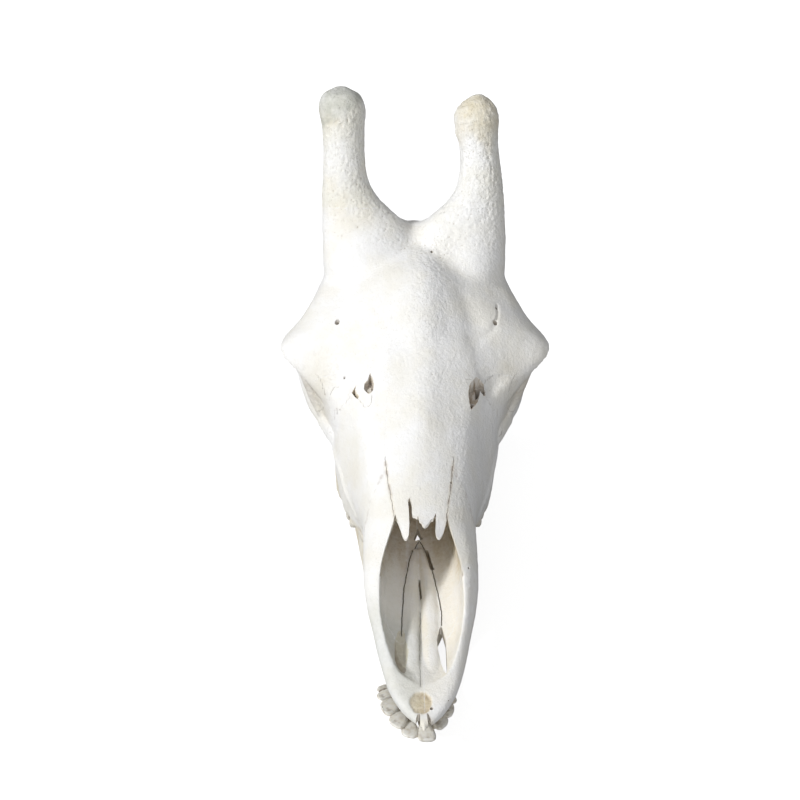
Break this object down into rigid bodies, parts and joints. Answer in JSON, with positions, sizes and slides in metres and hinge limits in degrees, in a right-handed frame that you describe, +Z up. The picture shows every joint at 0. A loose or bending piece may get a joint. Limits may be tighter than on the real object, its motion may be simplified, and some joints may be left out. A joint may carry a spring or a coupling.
{
  "type": "giraffe skull",
  "caption": "Life-size giraffe skull with its lower jaw: long tapering snout, wide eye sockets, blunt bony horns, cheek teeth and a fan of lower front teeth, lying on its jaw.",
  "frame": {"origin": "on the floor, under the middle of the skull's box as it lies on its jaw", "axes": "+Y from the snout back to the occiput, +X to the skull's own left, +Z up"},
  "size_m": [0.2678, 0.617, 0.4372],
  "materials": {
    "skull_bone": "matt",
    "horn_bone": "matt, rough",
    "jaw_bone": "matt",
    "tooth": "satin"
  },
  "bodies": {
    "root": {"nasal_left": "skull_bone", "nasal_right": "skull_bone", "premaxilla_left": "skull_bone", "premaxilla_right": "skull_bone", "maxilla_left": "skull_bone", "maxilla_right": "skull_bone", "cheek_bone_left": "skull_bone", "cheek_bone_right": "skull_bone", "horn_left": "horn_bone", "horn_right": "horn_bone", "jaw_left": "jaw_bone", "jaw_right": "jaw_bone", "cranium": "skull_bone"}
  },
  "joints": []
}
